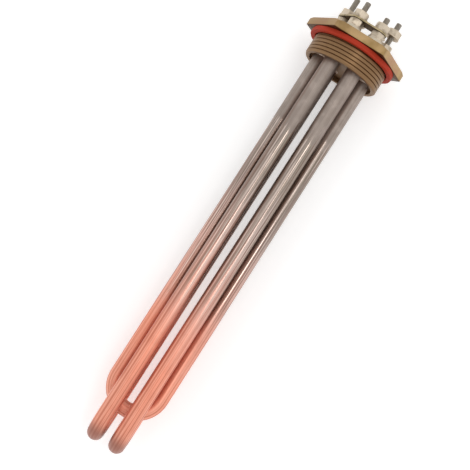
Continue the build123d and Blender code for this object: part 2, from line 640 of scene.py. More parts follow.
@dataclass(frozen=True)
class RedFibre(Finish):
    """Pressed red gasket sheet: matte and finely grained.

    Attributes:
        body: Colour of the sheet.
        pore: Its pores, by the grain.
        patch: How far they darken it, by the patches.
        sheen: Strength of its reflections.
    """

    body: Colour = srgb(182, 54, 28)
    pore: Layer = Layer(srgb(132, 28, 16), Band(0.45, 0.8))
    patch: Band = Band(0.2, 0.8, 0.3, 0.9)
    roughness: float = 0.66
    sheen: float = 0.25
    grain: Grain = Grain(0.35 * MM, 3, 0.65)
    patches: Grain = Grain(6 * MM, 2)
    grain_depth: float = 0.03 * MM
    grain_relief: float = 0.7

    def mix(self, recipe: Recipe) -> dict:
        """Fine pores over broad patches.

        Args:
            recipe: Where the nodes go.

        Returns:
            Shader's inputs by name.
        """
        place = recipe.place()
        grain = recipe.noise(place, self.grain)
        share = recipe.span(recipe.noise(place, self.patches), self.patch)
        return {"Base Color": recipe.lay(self.body, self.pore, grain, share),
                "Roughness": self.roughness, "Specular IOR Level": self.sheen,
                "Normal": recipe.bump(grain, self.grain_depth, self.grain_relief)}


@dataclass(frozen=True)
class TintedSheath(Finish):
    """Drawn steel sheath: blasted grey at the plug, then drawn bright, salmon at the bends.

    Attributes:
        tint: Pairs of a place along X and the colour there.
        slant: How far a tint moves along X for each metre of Y.
        wander: How far the clouds move it.
        cold: Blasted end, by X.
        ragged: How far the patches move its border.
        streaky: How far the bands move its border.
        blasting: Share of the streaks that the blasted end has lost.
        hot: Salmon end, by X.
        light: Colour of the paler streaks, and flush where the metal is salmon.
        stain_and_shade: Colour of the browner streaks and of the painted shade between the legs, and
        rust_and_shade where the metal is salmon.
        olive: Greener streaks in the grey stretch, by the bands.
        dark: How much stain the streaks bring.
        pale: How much light the streaks bring.
        blotch: How much stain the patches bring.
        pits: How much stain the grain brings.
        clean: How much light the patches bring at the blasted end.
        rim: Burnt stretch at the plug, by X.
        scorch: How much stain the patches bring there.
        gutters: Painted shade in bands between neighbouring legs: middle along Y, and how much
        shade they bring by the distance from it.
        gutter_end: Place along X, before the bends, where they stop.
        tip_shade: Painted shade over the outer ends of the bends, by X.
        shine: Roughness, by the streaks.
        cold_rough: What the blasted end adds to it, as hot_rough does at the salmon end.
        cold_loss: What the blasted end takes from the metallic share, as hot_loss does.
    """

    tint: tuple = (
        (-248 * MM, srgb(236, 160, 135)),
        (-205 * MM, srgb(242, 157, 130)),
        (-165 * MM, srgb(223, 168, 152)),
        (-110 * MM, srgb(168, 149, 141)),
        (-72 * MM, srgb(151, 139, 131)),
        (-20 * MM, srgb(158, 145, 136)),
    )
    slant: float = 0.7
    wander: Band = Band(0.3, 0.7, -6 * MM, 6 * MM)
    cold: Band = Band(-58.5 * MM, -53.5 * MM)
    ragged: Band = Band(0.35, 0.65, -2 * MM, 2 * MM)
    streaky: Band = Band(0.35, 0.65, -5 * MM, 5 * MM)
    blasting: float = 0.9
    hot: Band = Band(-158 * MM, -188 * MM)
    light: Colour = srgb(242, 220, 209)
    flush: Colour = srgb(250, 184, 160)
    # Colour of stains, and also of the painted shade between the legs.
    stain_and_shade: Colour = srgb(112, 82, 66)
    rust_and_shade: Colour = srgb(184, 98, 72)
    olive: Layer = Layer(srgb(136, 126, 110), Band(0.48, 0.58, 0, 0.55))
    dark: Band = Band(0.5, 0.6, 0, 0.6)
    pale: Band = Band(0.47, 0.37, 0, 0.6)
    blotch: Band = Band(0.45, 0.8, 0, 0.14)
    pits: Band = Band(0.5, 0.7, 0, 0.12)
    clean: Band = Band(0.5, 0.3, 0, 0.1)
    rim: Band = Band(-17 * MM, -10 * MM)
    scorch: Band = Band(0.4, 0.6, 0.1, 0.7)
    # Painted shade in the gutters between neighbouring legs.
    gutters: tuple = (
        (-12.9 * MM, Band(2.1 * MM, 0.7 * MM, 0, 0.5)),
        (-0.6 * MM, Band(4.2 * MM, 2.8 * MM, 0, 0.45)),
        (12.3 * MM, Band(2.7 * MM, 1.3 * MM, 0, 0.5)),
    )
    gutter_end: Band = Band(-232 * MM, -224 * MM)
    # Painted shade on the outer ends of the bends.
    tip_shade: Layer = Layer(srgb(148, 98, 84), Band(-253 * MM, -262 * MM, 0, 0.85))
    shine: Band = Band(0.3, 0.7, 0.16, 0.26)
    cold_rough: float = 0.32
    hot_rough: float = 0.2
    metallic: float = 0.84
    cold_loss: float = 0.2
    hot_loss: float = 0.24
    clouds: Grain = Grain(24 * MM, 2)
    patches: Grain = Grain(6 * MM, 3, 0.5)
    grain: Grain = Grain(0.5 * MM, 3, 0.7)
    streaks: Grain = Grain(0.8 * MM, 3, 0.6, stretch=(1, 1, 0.01))
    bands: Grain = Grain(1.8 * MM, 2, 0.5, stretch=(1, 1, 0.01))
    streak_depth: float = 0.008 * MM
    streak_relief: float = 0.5
    grain_depth: float = 0.012 * MM
    grain_relief: float = 0.6

    def painted_shade(self, recipe: Recipe, x: Socket, y: Socket) -> Socket:
        """Amount of painted shade in the gutters between the legs.

        Args:
            recipe: Where the nodes go.
            x: Place along X.
            y: Place along Y.

        Returns:
            The darkest of the bands, faded out before the bends.
        """
        painted_shade = 0.0
        for middle, band in self.gutters:
            away = recipe.math("ABSOLUTE", recipe.math("SUBTRACT", y, middle))
            painted_shade = recipe.math("MAXIMUM", painted_shade, recipe.span(away, band))
        return recipe.math("MULTIPLY", painted_shade, recipe.span(x, self.gutter_end))

    def mix(self, recipe: Recipe) -> dict:
        """Tint along X, drawing streaks along the tube, and a blasted end with a soft border.

        Args:
            recipe: Where the nodes go.

        Returns:
            Shader's inputs by name.
        """
        place, drawn = recipe.place(), recipe.stored("drawn", "Vector")
        x, y = recipe.along(place, "X"), recipe.along(place, "Y")
        patches, grain = recipe.noise(place, self.patches), recipe.noise(place, self.grain)
        streaks, bands = recipe.noise(drawn, self.streaks), recipe.noise(drawn, self.bands)

        border = recipe.math("ADD", x, recipe.span(patches, self.ragged))
        border = recipe.math("ADD", border, recipe.span(bands, self.streaky))
        cold, hot = recipe.span(border, self.cold), recipe.span(x, self.hot)
        keep = recipe.math("MULTIPLY_ADD", cold, -self.blasting, 1.0)
        grey = recipe.math("MULTIPLY", recipe.math("SUBTRACT", 1.0, hot), keep)
        # Stain colour, also used for the painted shade between the legs.
        stain_and_shade = recipe.blend(hot, self.stain_and_shade, self.rust_and_shade)
        light = recipe.blend(hot, self.light, self.flush)

        drift = recipe.span(recipe.noise(place, self.clouds), self.wander)
        tinted = recipe.math("MULTIPLY_ADD", y, -self.slant, recipe.math("ADD", x, drift))
        colour = recipe.ramp(tinted, self.tint)
        colour = recipe.lay(colour, self.olive, bands, grey)
        colour = recipe.lay(colour, Layer(stain_and_shade, self.dark), streaks, keep)
        colour = recipe.lay(colour, Layer(light, self.pale), streaks, keep)
        spots = recipe.math("ADD", recipe.span(patches, self.blotch), recipe.span(grain, self.pits))
        colour = recipe.blend(spots, colour, stain_and_shade)
        colour = recipe.lay(colour, Layer(self.light, self.clean), patches, cold)
        rim = recipe.span(x, self.rim)
        colour = recipe.lay(colour, Layer(self.stain_and_shade, self.scorch), patches, rim)
        # Painted shade in the gutters between the legs.
        colour = recipe.blend(self.painted_shade(recipe, x, y), colour, stain_and_shade)
        # Painted shade on the outer ends of the bends.
        colour = recipe.lay(colour, self.tip_shade, x)

        rough = recipe.math("MULTIPLY_ADD", cold, self.cold_rough, recipe.span(streaks, self.shine))
        rough = recipe.math("MULTIPLY_ADD", hot, self.hot_rough, rough)
        metallic = recipe.math("MULTIPLY_ADD", cold, -self.cold_loss, self.metallic)
        metallic = recipe.math("MULTIPLY_ADD", hot, -self.hot_loss, metallic)
        normal = recipe.bump(streaks, self.streak_depth, self.streak_relief)
        blasted = recipe.math("MULTIPLY", grain, cold)
        normal = recipe.bump(blasted, self.grain_depth, self.grain_relief, normal)
        return {"Base Color": colour, "Metallic": metallic, "Roughness": rough, "Normal": normal}


@dataclass(frozen=True)
class Mottled(Finish):
    """Plain finish of one colour with patches of another.

    Attributes:
        body: Colour of the clean surface.
        dull: The patches.
        patches: Pattern that they follow.
        roughness: A number, or a band read on the patches.
        metallic: Share of the surface that is bare metal.
        grooved: True if the grooves of a thread get painted shade in the colour of the patches.
        relief: Pattern of the small scratches, ripples or grains, if the surface has them.
        relief_depth: How deep they are.
        relief_share: Share of their effect.
    """

    body: Colour
    dull: Layer
    patches: Grain
    roughness: float | Band
    metallic: float = 1.0
    grooved: bool = False
    relief: Grain | None = None
    relief_depth: float = 0.0
    relief_share: float = 1.0

    def mix(self, recipe: Recipe) -> dict:
        """Patches, painted shade in the grooves and fine relief.

        Args:
            recipe: Where the nodes go.

        Returns:
            Shader's inputs by name.
        """
        place = recipe.place()
        patches = recipe.noise(place, self.patches)
        colour = recipe.lay(self.body, self.dull, patches)
        # Painted shade in the grooves of a thread.
        if self.grooved:
            colour = recipe.blend(recipe.stored("groove"), colour, self.dull.tone)
        rough = self.roughness
        if isinstance(rough, Band):
            rough = recipe.span(patches, rough)
        inputs = {"Base Color": colour, "Metallic": self.metallic, "Roughness": rough}
        if self.relief:
            relief = recipe.noise(place, self.relief)
            inputs["Normal"] = recipe.bump(relief, self.relief_depth, self.relief_share)
        return inputs


@dataclass(frozen=True)
class Palette:
    """Every finish of the heater, one for each slot of the record."""

    plug: Finish = TurnedBrass("turned_brass", "plug_brass")
    link: Finish = StampedBrass("stamped_brass", "link_brass")
    gasket: Finish = RedFibre("red_fibre", "gasket_rubber")
    sheath: Finish = TintedSheath("tinted_sheath", "sheath_steel")
    nut: Finish = Mottled(
        "plated_steel", "nut_steel", srgb(208, 194, 174),
        Layer(srgb(158, 144, 124), Band(0.45, 0.75)), Grain(5 * MM, 3, 0.6, 0.5),
        roughness=Band(0.3, 0.75, 0.36, 0.54), relief_depth=0.003 * MM,
        relief=Grain(0.15 * MM, 2, 0.6, stretch=(1, 0.2, 1)))
    # Its thread's grooves get painted shade.
    stud: Finish = Mottled(
        "threaded_steel", "stud_steel", srgb(176, 170, 160),
        Layer(srgb(140, 133, 124), Band(0.45, 0.8, 0, 0.4)), Grain(1.5 * MM, 3, 0.6),
        roughness=Band(0.3, 0.7, 0.35, 0.5), grooved=True)
    braze: Finish = Mottled(
        "silver_braze", "solder", srgb(206, 188, 172),
        Layer(srgb(146, 112, 92), Band(0.48, 0.66)), Grain(1.6 * MM, 3, 0.65, 0.6),
        roughness=0.42, metallic=0.8, relief=Grain(0.6 * MM, 2, 0.5),
        relief_depth=0.05 * MM, relief_share=0.6)
    wire: Finish = Mottled(
        "oxidised_wire", "resistance_wire", srgb(96, 90, 86),
        Layer(srgb(128, 112, 98), Band(0.4, 0.7)), Grain(3 * MM, 3, 0.6), roughness=0.5)
    bush: Finish = Mottled(
        "fired_bush", "bush_ceramic", srgb(226, 217, 198),
        Layer(srgb(178, 164, 142), Band(0.55, 0.8, 0, 0.8)), Grain(0.3 * MM, 3, 0.6),
        roughness=0.7, metallic=0.0, relief=Grain(0.3 * MM, 3, 0.6),
        relief_depth=0.02 * MM, relief_share=0.6)
    filling: Finish = replace(
        bush, name="packed_magnesia", slot="magnesia", body=srgb(232, 230, 222))


def rounded(profile: Sequence[tuple[float, float]], radius: float,
            steps: int) -> list[tuple[float, float]]:
    """Closed profile with each corner replaced by a short arc.

    Each corner P is cut at A and B, a radius away along its two sides, and the cut is the
    quadratic curve (1-t)^2 A + 2t(1-t) P + t^2 B, which touches both sides.

    Args:
        profile: Corners as pairs.
        radius: That distance.
        steps: Points added along each arc.

    Returns:
        The points of the rounded profile, the first repeated at the end.
    """
    corners = np.array(profile, float)
    back, ahead = np.roll(corners, 1, axis=0) - corners, np.roll(corners, -1, axis=0) - corners
    start = corners + radius * back / np.linalg.norm(back, axis=1, keepdims=True)
    end = corners + radius * ahead / np.linalg.norm(ahead, axis=1, keepdims=True)
    t = np.linspace(0, 1, steps + 1)[None, :, None]
    arcs = (1 - t) ** 2 * start[:, None] + 2 * t * (1 - t) * corners[:, None] + t ** 2 * end[:, None]
    points = [tuple(point) for point in arcs.reshape(-1, 2)]
    return points + points[:1]


def ripple(angle: np.ndarray, waves: Sequence[tuple[float, int, float]]) -> np.ndarray:
    """Sum of waves (height, turns, shift): height times the sine of turns times angle plus shift."""
    return sum(height * np.sin(turns * angle + shift) for height, turns, shift in waves)


@dataclass(frozen=True)
class Thread:
    """A V thread cut round an axis parallel to X.

    At a share of a pitch from the middle of the groove, the surface lies at crest minus depth
    times g. g is 1 across the root, falls along a straight flank and is 0 across the crest, and
    both ends of the flank are rounded.
    """

    crest: float
    depth: float
    pitch: float
    phase: float
    root_share: float = 0.02
    crest_share: float = 0.15
    rounding: float = 0.06
    flank_rows: int = 5

    def radius(self, x: np.ndarray, angle: np.ndarray) -> tuple[np.ndarray, np.ndarray]:
        """Radius of the thread at a place.

        Args:
            x: Place along the axis.
            angle: Angle round the axis.

        Returns:
            Radius, and the share of the groove's depth, 1 at the root and 0 at the crest.
        """
        turns = x / self.pitch - angle / (2 * pi) - self.phase
        share = np.abs(turns - np.round(turns))
        flank = np.clip((self.crest_share - share) / (self.crest_share - self.root_share), 0, 1)
        sunk = flank + self.rounding * np.sin(2 * pi * flank)
        return self.crest - self.depth * sunk, sunk

    def rows(self, low: float, high: float, angle: np.ndarray) -> np.ndarray:
        """Places along the axis of rows that follow the helix, held between two planes.

        Row i at angle a lies at (k + s_i + phase + a / 2 pi) times the pitch, where k counts the
        turns and s_i are the places on the profile where its slope changes.

        Args:
            low: Lowest place of the thread.
            high: Highest place.
            angle: Row of angles from 0 to a full turn.

        Returns:
            Array of rows by columns of x.
        """
        flank = np.linspace(self.root_share, self.crest_share, self.flank_rows)
        half = np.concatenate([[0.0], flank, [0.5]])
        stations = np.concatenate([half, 1 - half[-2:0:-1]])
        first = int(np.floor(low / self.pitch)) - 2
        last = int(np.ceil(high / self.pitch)) + 2
        turns = (np.arange(first, last)[:, None] + stations[None, :]).ravel()
        x = (turns[:, None] + self.phase + angle / (2 * pi)) * self.pitch
        return np.clip(x, low, high)


@dataclass(frozen=True)
class Hexagon:
    """Outline of a hexagon whose corners are turned down by a cone.

    Attributes:
        flat: Distance of a flat from the middle.
        circle: Radius where the cone meets the face.
        edge: Softening of the edges.
        slope: Angle of the cone.
    """

    flat: float
    circle: float
    edge: float
    slope: float = radians(30)

    @staticmethod
    def sector(half_steps: int, crowding: float) -> np.ndarray:
        """Angles of a sixth of a turn, closest together at the hexagon's corner.

        A share s from -1 to 1 becomes 30 degrees times s to the power of the crowding, with the
        sign of s.

        Args:
            half_steps: Steps on each side of the corner.
            crowding: The power.

        Returns:
            The angles from the corner.
        """
        share = np.linspace(-1, 1, 2 * half_steps + 1)
        return SIXTH / 2 * np.sign(share) * np.abs(share) ** crowding

    @staticmethod
    def six(sector: np.ndarray) -> np.ndarray:
        """Angles of six sectors one after the other, without the last of each."""
        return np.concatenate([SIXTH * number + sector[:-1] for number in range(6)])

    def radius(self, angle: np.ndarray) -> np.ndarray:
        """Radius at an angle: the flat's distance over the cosine from the flat's middle."""
        off = np.mod(angle, SIXTH) - SIXTH / 2
        return np.minimum(self.flat / np.cos(off), self.flat / cos(SIXTH / 2) - self.edge / 2)

    def face(self, angle: np.ndarray) -> np.ndarray:
        """Radius where the flat face ends: the hexagon cut by the cone's circle."""
        return np.minimum(self.radius(angle), self.circle) - self.edge

    def drop(self, angle: np.ndarray) -> np.ndarray:
        """Drop of the cone: the radius past its circle times the tangent of its angle."""
        return np.maximum(self.radius(angle) - self.circle, 0) * tan(self.slope)


@dataclass
class ScrewPlug:
    """Hexagon screw plug: flange, threaded barrel, recess and six through holes.

    It is one closed skin. Its outside is a grid of angle by profile, and its two flat faces
    are six sectors each, where straight lines run from a hole's rim to the sector's outline.

    Attributes:
        crest: Radius of the barrel over its thread.
        relief_depth: Depth of the groove between the thread and the flange.
        first_groove: Place along X of a groove, a third of a turn past the first column.
        groove_turn: Turns from there back to that column.
        unshaded_crest: Share of the thread's depth that is free of painted shade.
        corner_bevel: How far the bevel's circle lies inside the hexagon's corners.
        edge_share: Share of edge_radius where an edge has its middle row.
        crowding: Power that brings the columns closer together at the corners.
        spoke_steps: Points from the sector's edge to the centre.
        spoke_turn: Angle on a hole's rim where the lines to those points begin.
        web_crowding: Power that brings a face's rows closer together at the holes.
    """

    finish: Finish
    box: NodeBox = field(default_factory=lambda: NodeBox.of("screw_plug"))
    gasket: NodeBox = field(default_factory=lambda: NodeBox.of("gasket"))
    crest: float = 23.9 * MM
    thread_depth: float = 0.6 * MM
    relief_depth: float = 1.4 * MM
    pitch: float = 2.309 * MM
    first_groove: float = -0.6 * MM
    groove_turn: float = -1 / 3
    unshaded_crest: float = 1 / 3
    end_bevel: float = 0.8 * MM
    recess_radius: float = 21.0 * MM
    recess_depth: float = 3.0 * MM
    corner_bevel: float = 1.6 * MM
    edge_radius: float = 0.25 * MM
    edge_share: float = 0.3
    hole_circle: float = 14.25 * MM
    hole_radius: float = 4.85 * MM
    half_steps: int = 16
    crowding: float = 1.5
    spoke_steps: int = 16
    spoke_turn: float = radians(62)
    web_rows: int = 4
    web_crowding: float = 1.3

    def web(self, outer: np.ndarray) -> np.ndarray:
        """One sector of a flat face, from a hole's rim to the sector's outline.

        The outline runs along the outer edge and back to the centre along both sides. Point j of
        the rim is joined to point j of the outline by a straight line.

        Args:
            outer: Radius of the outer edge at each of the sector's angles.

        Returns:
            Array of rows by columns by two, X left out, in the sector's own directions.
        """
        angle = Hexagon.sector(self.half_steps, self.crowding)
        edge = np.stack([outer * np.cos(angle), outer * np.sin(angle)], axis=-1)
        spoke = np.linspace(0, 1, self.spoke_steps + 1)
        border = np.concatenate([edge, spoke[-2::-1, None] * edge[-1], spoke[1:, None] * edge[0]])
        brow = self.spoke_turn
        turn = np.concatenate([
            np.linspace(-brow, brow, len(angle)),
            np.linspace(brow, pi, self.spoke_steps + 1)[1:],
            np.linspace(pi, 2 * pi - brow, self.spoke_steps + 1)[1:],
        ])
        rim = np.stack([self.hole_circle + self.hole_radius * np.cos(turn),
                        self.hole_radius * np.sin(turn)], axis=-1)
        share = np.linspace(0, 1, self.web_rows + 1)[:, None, None] ** self.web_crowding
        return rim + (border - rim) * share

    def add_sectors(self, surface: Surface, x: np.ndarray, flat: np.ndarray) -> None:
        """Add one sector's grid six times, turned about the axis.

        A point (u, v) turned by an angle is (u cos - v sin, u sin + v cos).

        Args:
            surface: Where they go.
            x: Places along X, one for each row.
            flat: Array of rows by columns by two, in the sector's own directions.
        """
        for number in range(6):
            cosine, sine = cos(SIXTH * number), sin(SIXTH * number)
            y = flat[..., 0] * cosine - flat[..., 1] * sine
            z = flat[..., 0] * sine + flat[..., 1] * cosine
            surface.grid(np.stack(np.broadcast_arrays(x[:, None], y, z), axis=-1))

    def build(self) -> None:
        """Make the plug's skin and dress it.

        Row by row it runs up the thread, then from the recess's floor round its mouth, and from
        the thread's end up the relief, under the flange, up its side and over the bevel. The
        flange's face, the recess's floor and the walls of the holes close it.
        """
        end, top = self.box.ends
        under, floor = self.gasket.ends[1], end + self.recess_depth
        soft, little = self.edge_radius, self.edge_share * self.edge_radius
        sector = Hexagon.sector(self.half_steps, self.crowding)
        turn = Hexagon.six(sector)
        angle = np.append(turn, turn[0] + 2 * pi)[None, :]
        helix = angle - turn[0]

        surface = Surface()
        thread = Thread(self.crest, self.thread_depth, self.pitch,
                        self.first_groove / self.pitch + self.groove_turn)
        x = thread.rows(end, SEALING_FACE, helix)
        radius, sunk = thread.radius(x, helix)
        radius = np.minimum(radius, self.crest - self.end_bevel + (x - end))
        # Painted shade in the thread's grooves, kept off the crests.
        painted_shade = np.clip((sunk - self.unshaded_crest) / (1 - self.unshaded_crest), 0, 1)
        surface.ring([(x, radius)], angle, groove=painted_shade)
        surface.ring([(floor, self.recess_radius), (end + soft, self.recess_radius),
                      (end, self.recess_radius + soft), (x[:1], radius[:1])], angle)

        hexagon = Hexagon(float(self.box.size[2]) / 2, self.box.radius - self.corner_bevel, soft)
        root, side = self.crest - self.relief_depth, hexagon.radius(angle)
        brow = top - hexagon.drop(angle)
        surface.ring([(x[-1:], radius[-1:]), (SEALING_FACE, root), (under, root),
                      (under, side - soft), (under + little, side - little), (under + soft, side),
                      (brow - soft, side), (brow - little, side - little),
                      (top, hexagon.face(angle))], angle)

        recess = self.web(np.full_like(sector, self.recess_radius))
        self.add_sectors(surface, np.array([top]), self.web(hexagon.face(sector)))
        self.add_sectors(surface, np.array([floor]), recess)
        self.add_sectors(surface, np.array([floor, top]), recess[:1])
        self.finish.dress(surface.build("plug_body"), "screw_plug")


@dataclass
class Gasket:
    """Flat red gasket, pressed a little out of round between the flange and the tank.

    Attributes:
        swell: How far its rim goes out of round.
        waves: Height, as a share of the swell, count and shift of each wave round it.
    """

    finish: Finish
    box: NodeBox = field(default_factory=lambda: NodeBox.of("gasket"))
    bore: float = 24.2 * MM
    edge_radius: float = 0.6 * MM
    edge_steps: int = 5
    swell: float = 0.12 * MM
    waves: tuple = ((1 / 3, 3, 0.4), (1 / 3, 7, 2.1), (1 / 3, 17, 1.0))
    columns: int = 180

    def build(self) -> None:
        """Rounded section carried round the axis, its outside waving by the swell.

        The radius of each point grows by the swell times the waves of the angle, times its share
        of the way from bore to rim.
        """
        low, high = self.box.ends
        rim = self.box.radius - self.swell
        section = np.array(rounded([(low, self.bore), (low, rim), (high, rim), (high, self.bore)],
                                   self.edge_radius, self.edge_steps))
        x, radius = section[:, :1], section[:, 1:]
        angle = full_turn(self.columns)
        share = (radius - self.bore) / (rim - self.bore)
        radius = radius + self.swell * ripple(angle, self.waves) * share
        surface = Surface()
        surface.ring([(x, radius)], angle, closed=True)
        self.finish.dress(surface.build("gasket_ring"), "gasket")


@dataclass
class Hairpin:
    """Sheath of one hairpin element: two straight legs and a half-round bend.

    The centre line runs from the end of one leg, round the bend and back. Its points lie at
    centre + P(s), where P goes along -X, round a half circle and along +X.

    Attributes:
        flatten: Share by which the tube is narrower in the bend, in the hairpin's plane.
        flatten_power: Power of the heading's sine that brings this in.
    """

    name: str
    finish: Finish
    tube_radius: float = 4.75 * MM
    wall: float = 0.8 * MM
    flatten: float = 0.035
    flatten_power: float = 0.5
    columns: int = 72
    bend_rows: int = 72
    leg_rows: int = 60

    def build(self) -> None:
        """Carry the tube's section along the centre line, outside and inside.

        A point of the section at angle psi lies radius times cos psi towards the outside of the
        bend, less the flattening there, and radius times sin psi square to the hairpin's plane.
        """
        box = NodeBox.of("sheath_" + self.name)
        flat_axis = 1 if box.size[1] < box.size[2] else 2
        wide_axis = 3 - flat_axis
        half = float(box.size[wide_axis]) / 2 - self.tube_radius
        tip, start = box.ends
        bend = tip + self.tube_radius + half
        leg, level = np.linspace(start, bend, self.leg_rows), np.ones(self.leg_rows)
        turn = np.linspace(0, pi, self.bend_rows + 1)[1:-1]
        along = np.concatenate([leg, bend - half * np.sin(turn), leg[::-1]])[:, None]
        across = np.concatenate([half * level, half * np.cos(turn), -half * level])[:, None]
        heading = np.concatenate([0 * level, turn, pi * level])[:, None]
        length = np.concatenate([start - leg, start - bend + half * turn,
                                 start - bend + half * pi + leg[::-1] - bend])[:, None]
        bent = np.sin(heading) ** self.flatten_power * self.flatten
        psi = full_turn(self.columns)
        surface, skins = Surface(), []
        for radius in (self.tube_radius, self.tube_radius - self.wall):
            outward, upright = radius * (1 - bent) * np.cos(psi), radius * np.sin(psi)
            points = np.zeros((len(along), self.columns, 3))
            points[..., 0] = along - outward * np.sin(heading)
            points[..., wide_axis] = box.centre[wide_axis] + across + outward * np.cos(heading)
            points[..., flat_axis] = box.centre[flat_axis] + upright
            drawn = np.stack(np.broadcast_arrays(radius * np.cos(psi), upright, length), axis=-1)
            surface.grid(points, closed=True, drawn=drawn)
            skins.append((points, drawn))
        (outer, outer_drawn), (inner, inner_drawn) = skins
        for row in (0, -1):
            surface.grid(np.stack([outer[row], inner[row]]), closed=True,
                         drawn=np.stack([outer_drawn[row], inner_drawn[row]]))
        self.finish.dress(surface.build("sheath_tube_" + self.name), "sheath_" + self.name)


@dataclass
class Terminal:
    """Terminal of one tube end: stud, end bush, two washers, two nuts and the braze below.

    Attributes:
        phase_step: Share of a pitch by which each stud's thread starts later than the last.
        tip_land: How far the last row of the thread lies below the top.
        nut_turns: Angle in degrees of the lower and the upper nut, stud by stud.
        nut_crowding: Power that brings a nut's columns closer together at its corners.
        braze_reach: Mean reach of the braze from the tube, as a share of its box's.
        braze_waves: Height, count and shift of each wave round it, the shift times the number.
    """

    number: int
    palette: Palette
    pitch: float = 0.6 * MM
    thread_depth: float = 0.2 * MM
    root_share: float = 0.08
    crest_share: float = 0.44
    phase_step: float = 0.13
    tip_radius: float = 0.6 * MM
    tip_land: float = 0.02 * MM
    cap_rows: int = 5
    stud_columns: int = 36
    bore_gap: float = 0.05 * MM
    nut_flats: float = 8.0 * MM
    nut_bevel: float = 0.45 * MM
    nut_edge: float = 0.1 * MM
    nut_mouth: float = 0.35 * MM
    nut_steps: int = 6
    nut_crowding: float = 1.4
    nut_sharp: float = radians(24)
    nut_turns: tuple = ((14, 21), (8, 18), (30, 39), (25, 46), (52, 33), (40, 5))
    washer_gap: float = 0.25 * MM
    washer_edge: float = 0.18 * MM
    edge_steps: int = 3
    ring_columns: int = 64
    tube_radius: float = 4.75 * MM
    braze_reach: float = 0.78
    braze_waves: tuple = ((0.12, 2, 1.7), (0.07, 5, 3.4), (0.03, 11, 5.1))
    braze_rows: int = 7

    def box(self, kind: str) -> NodeBox:
        """Box of this terminal's node of a kind."""
        return NodeBox.of(f"{kind}_{self.number}")

    def centre(self) -> tuple[float, float]:
        """Y and Z of the stud."""
        middle = self.box("terminal_stud").centre
        return float(middle[1]), float(middle[2])

    def stud_radius(self) -> float:
        """Radius of the stud over its thread."""
        return self.box("terminal_stud").radius

    def build_stud(self) -> None:
        """Plain pin inside the sheath, a helical thread above the bush and a rounded tip.

        Within the tip's radius of the top, the thread is held under a quarter round.
        """
        low, high = self.box("terminal_stud").ends
        crest, start = self.stud_radius(), self.box("end_bush").ends[1]
        angle = np.linspace(0, 2 * pi, self.stud_columns + 1)[None, :]
        thread = Thread(crest, self.thread_depth, self.pitch, self.phase_step * self.number,
                        self.root_share, self.crest_share)
        x = thread.rows(start, high - self.tip_land, angle)
        radius, sunk = thread.radius(x, angle)
        left = np.clip((high - x) / self.tip_radius, 0, 1)
        dome = crest - self.tip_radius * (1 - np.sqrt(1 - (1 - left) ** 2))
        radius = np.minimum(radius, dome)
        cap = np.linspace(1, 0, self.cap_rows)[:, None] * radius[-1:]
        foot = [(low, 0.0), (low, crest), (start, crest), (x[:1], radius[:1])]
        surface = Surface()
        # The groove's depth, stored for the painted shade in the grooves.
        surface.ring([(x, radius)], angle, self.centre(), groove=sunk)
        surface.ring([(np.repeat(x[-1:], self.cap_rows, axis=0), cap)], angle, self.centre())
        surface.ring(foot, angle, self.centre())
        self.palette.stud.dress(surface.build(f"stud_{self.number}"), f"terminal_stud_{self.number}")

    def build_nut(self, level: Level, turn: float) -> None:
        """Hexagon nut with both faces turned down at the corners.

        Its rows run from the bore's mouth over the lower face, up the side, over the upper face
        and back down the bore.

        Args:
            level: Which of the two nuts.
            turn: Angle in degrees that it came to rest at.
        """
        kind = level.value + "_nut"
        low, high = self.box(kind).ends
        bore, mouth = self.stud_radius() + self.bore_gap, self.nut_mouth
        flat = self.nut_flats / 2
        hexagon = Hexagon(flat, flat / cos(SIXTH / 2) - self.nut_bevel, self.nut_edge)
        angle = Hexagon.six(Hexagon.sector(self.nut_steps, self.nut_crowding))[None, :]
        side, face = hexagon.radius(angle), hexagon.face(angle)
        drop = self.nut_edge / 2 + hexagon.drop(angle)
        rows = [(low + mouth, bore), (low, bore + mouth), (low, face), (low + drop, side),
                (high - drop, side), (high, face), (high, bore + mouth), (high - mouth, bore),
                (low + mouth, bore)]
        surface = Surface()
        surface.ring(rows, angle + radians(turn), self.centre(), closed=True)
        piece = surface.build(f"{kind}_hex_{self.number}", self.nut_sharp)
        self.palette.nut.dress(piece, f"{kind}_{self.number}")

    def build_washer(self, level: Level) -> None:
        """Punched washer: a section with rounded corners turned round the stud.

        Args:
            level: Which of the two washers.
        """
        kind = level.value + "_washer"
        box, hole = self.box(kind), self.stud_radius() + self.washer_gap
        (low, high), rim = box.ends, box.radius
        section = rounded([(low, hole), (low, rim), (high, rim), (high, hole)],
                          self.washer_edge, self.edge_steps)
        surface = Surface()
        surface.ring(section, full_turn(self.ring_columns), self.centre(), closed=True)
        piece = surface.build(f"{kind}_ring_{self.number}")
        self.palette.nut.dress(piece, f"{kind}_{self.number}")

    def build_braze(self) -> None:
        """Fillet of braze between the tube and the recess's floor, run unevenly round the tube.

        Its section is a hollow quarter round. Its size is that of its box, times the mean reach
        plus the waves.
        """
        box = self.box("solder_ring")
        high, tube = box.ends[1], self.tube_radius
        angle = full_turn(self.ring_columns)
        waves = [(height, turns, shift * self.number) for height, turns, shift in self.braze_waves]
        size = (box.radius - tube) * (self.braze_reach + ripple(angle, waves))
        bow = np.linspace(0, pi / 2, self.braze_rows)[:, None]
        rise, reach = high - size * (1 - np.sin(bow)), tube + size * (1 - np.cos(bow))
        surface = Surface()
        surface.ring([(rise, reach), (high, tube), (rise[:1], reach[:1])], angle, self.centre(),
                     closed=True)
        self.palette.braze.dress(surface.build(f"braze_{self.number}"), f"solder_ring_{self.number}")

    def build(self) -> None:
        """Make every piece of the terminal."""
        self.build_stud()
        for level, turn in zip(Level, self.nut_turns[self.number - 1]):
            self.build_nut(level, turn)
        for level in Level:
            self.build_washer(level)
        self.build_braze()
        self.palette.bush.repaint(f"end_bush_{self.number}")


